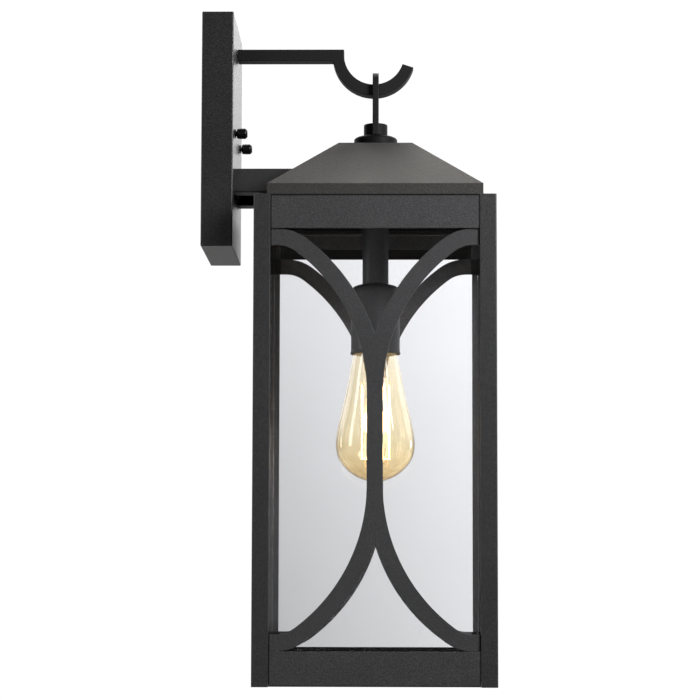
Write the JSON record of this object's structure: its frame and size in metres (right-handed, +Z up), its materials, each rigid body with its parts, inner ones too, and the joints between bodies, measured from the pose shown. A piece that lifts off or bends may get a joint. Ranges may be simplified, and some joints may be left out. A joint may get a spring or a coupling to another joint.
{
  "type": "outdoor wall lantern",
  "caption": "Square glazed wall lantern with fretwork sides and a hipped roof, on a box arm from a wall plate with a decorative hook above.",
  "frame": {"origin": "centre of the wall plate's back plane, where the lantern meets the wall", "axes": "+X away from the wall, +Y along the wall to the viewer's right when facing the wall, +Z up"},
  "size_m": [0.2192, 0.178, 0.5024],
  "materials": {
    "powder_coat": "fine sand-texture black powder coat",
    "zinc_steel": "zinc-plated steel",
    "brass": "bright stamped brass",
    "nickel": "nickel-plated brass",
    "porcelain": "white glazed porcelain",
    "pane_glass": "clear flat glass",
    "amber_glass": "amber-tinted clear glass",
    "clear_glass": "clear glass",
    "black_glass": "black vitrite glass",
    "tungsten": "glowing filament wire, emissive",
    "lead_wire": "fine nickel wire",
    "rubber": "black rubber",
    "black_insulation": "black wire insulation",
    "white_insulation": "white wire insulation",
    "green_insulation": "green wire insulation",
    "green_screw": "green-dyed zinc plate"
  },
  "bodies": {
    "fixture": {"wall_plate": "powder_coat", "hook_arm": "powder_coat", "lower_arm": "powder_coat", "domed_cover": "powder_coat", "loop_boss": "powder_coat", "hanging_loop": "powder_coat", "roof": "powder_coat", "stem_tube": "powder_coat", "socket_cup": "powder_coat", "strap_stud_left": "zinc_steel", "strap_stud_right": "zinc_steel", "post_back_left": "powder_coat", "post_front_left": "powder_coat", "post_front_right": "powder_coat", "post_back_right": "powder_coat", "top_rail_left": "powder_coat", "bottom_rail_left": "powder_coat", "fretwork_left": "powder_coat", "glass_retainer_left": "powder_coat", "glass_left": "pane_glass", "top_rail_front": "powder_coat", "bottom_rail_front": "powder_coat", "fretwork_front": "powder_coat", "glass_retainer_front": "powder_coat", "glass_front": "pane_glass", "top_rail_right": "powder_coat", "bottom_rail_right": "powder_coat", "fretwork_right": "powder_coat", "glass_retainer_right": "powder_coat", "glass_right": "pane_glass", "top_rail_back": "powder_coat", "bottom_rail_back": "powder_coat", "fretwork_back": "powder_coat", "glass_retainer_back": "powder_coat", "glass_back": "pane_glass", "mounting_strap": "zinc_steel", "hook_arm_screw": "zinc_steel", "top_nipple": "zinc_steel", "bottom_nipple": "zinc_steel", "ground_screw": "green_screw", "wire_grommet": "rubber", "lampholder": "porcelain", "screw_shell": "brass", "contact_spring": "brass", "live_wire": "black_insulation", "neutral_wire": "white_insulation", "ground_wire": "green_insulation"},
    "bulb_travel": {"bulb_centre_contact": "nickel"},
    "bulb": {"bulb_screw_cap": "nickel", "bulb_insulator": "black_glass", "bulb_glass": "amber_glass", "bulb_stem": "clear_glass", "filament": "tungsten", "filament_support": "lead_wire", "filament_lead_live": "lead_wire", "filament_lead_neutral": "lead_wire"},
    "nut_travel_left": {"nut_washer_left": "powder_coat"},
    "cap_nut_left": {"cap_nut_left": "powder_coat"},
    "nut_travel_right": {"nut_washer_right": "powder_coat"},
    "cap_nut_right": {"cap_nut_right": "powder_coat"}
  },
  "joints": [
    {"name": "bulb_lower", "type": "slide", "parent": "fixture", "child": "bulb_travel", "axis": [0, 0, -1], "range_m": [0, 0.0235]},
    {"name": "bulb_unscrew", "type": "hinge", "parent": "bulb_travel", "child": "bulb", "pos_m": [0.1302, 0, -0.2], "axis": [0, 0, -1], "range_deg": [0, 2340]},
    {"name": "nut_out_left", "type": "slide", "parent": "fixture", "child": "nut_travel_left", "axis": [1, 0, 0], "range_m": [0, 0.0063]},
    {"name": "nut_unscrew_left", "type": "hinge", "parent": "nut_travel_left", "child": "cap_nut_left", "pos_m": [0.0255, -0.0335, 0], "axis": [1, 0, 0], "range_deg": [0, 2880]},
    {"name": "nut_out_right", "type": "slide", "parent": "fixture", "child": "nut_travel_right", "axis": [1, 0, 0], "range_m": [0, 0.0063]},
    {"name": "nut_unscrew_right", "type": "hinge", "parent": "nut_travel_right", "child": "cap_nut_right", "pos_m": [0.0255, 0.0335, 0], "axis": [1, 0, 0], "range_deg": [0, 2880]}
  ],
  "couplings": [
    {"joint": "bulb_unscrew", "follows": "bulb_lower", "rad_per_m": 1730.9},
    {"joint": "nut_unscrew_left", "follows": "nut_out_left", "rad_per_m": 7913.3},
    {"joint": "nut_unscrew_right", "follows": "nut_out_right", "rad_per_m": 7913.3}
  ]
}
